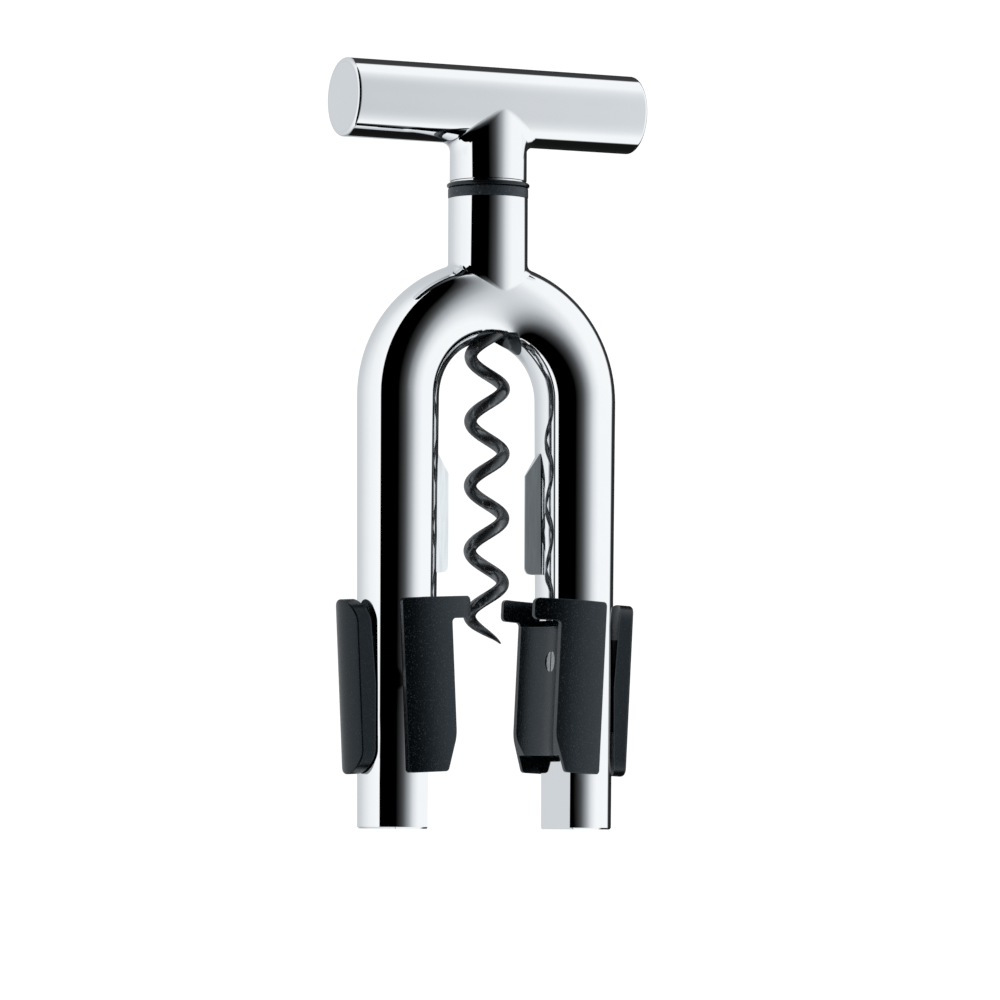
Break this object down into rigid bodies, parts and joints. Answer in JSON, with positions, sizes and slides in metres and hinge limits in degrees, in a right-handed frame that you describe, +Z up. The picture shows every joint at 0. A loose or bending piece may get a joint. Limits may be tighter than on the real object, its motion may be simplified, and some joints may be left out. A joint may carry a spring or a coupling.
{
  "type": "self-pulling corkscrew",
  "caption": "T-handled corkscrew: a worm turns in the neck of a round-tube arch whose legs clip over a bottle neck with sprung jaws.",
  "frame": {"origin": "on the axis of the worm, in the plane of the leg ends", "axes": "+Z up along the worm's axis, X across the two legs and along the cross bar, +Y to the back"},
  "size_m": [0.0696, 0.022, 0.1648],
  "materials": {
    "chrome": "polished plate on zinc casting",
    "black_plastic": "fine spark-eroded texture",
    "pad_plastic": "fine texture, slightly soft",
    "bush_plastic": "smooth moulded",
    "steel": "turned",
    "bright_steel": "bright stamped sheet",
    "spring_steel": "drawn wire",
    "coated_wire": "non-stick coating, slightly mottled",
    "rubber": "moulded O-ring"
  },
  "bodies": {
    "frame": {"frame_arch": "chrome", "neck_collar": "black_plastic", "lower_bush": "bush_plastic", "cork_fin_left": "bright_steel", "cork_fin_right": "bright_steel", "pivot_pin_left": "steel", "pivot_pin_right": "steel"},
    "spindle": {"t_handle": "chrome", "end_cap_left": "chrome", "end_cap_right": "chrome", "spindle_shaft": "steel", "worm": "coated_wire", "o_ring": "rubber", "thrust_washer": "steel"},
    "left_clip": {"lever_left": "steel", "jaw_left": "black_plastic", "pad_left": "pad_plastic", "jaw_screw_left": "steel", "return_spring_left": "spring_steel"},
    "right_clip": {"lever_right": "steel", "jaw_right": "black_plastic", "pad_right": "pad_plastic", "jaw_screw_right": "steel", "return_spring_right": "spring_steel"}
  },
  "joints": [
    {"name": "spindle_turn", "type": "hinge", "parent": "frame", "child": "spindle", "pos_m": [0, 0, 0.12], "axis": [0, 0, 1], "continuous": true},
    {"name": "left_clip_rock", "type": "hinge", "parent": "frame", "child": "left_clip", "pos_m": [-0.0212, 0, 0.031], "axis": [0, 1, 0], "range_deg": [0, 5], "stiffness_Nm_per_rad": 0.4, "springref_deg": -6.88},
    {"name": "right_clip_rock", "type": "hinge", "parent": "frame", "child": "right_clip", "pos_m": [0.0212, 0, 0.031], "axis": [0, -1, 0], "range_deg": [0, 5], "stiffness_Nm_per_rad": 0.4, "springref_deg": -6.88}
  ]
}
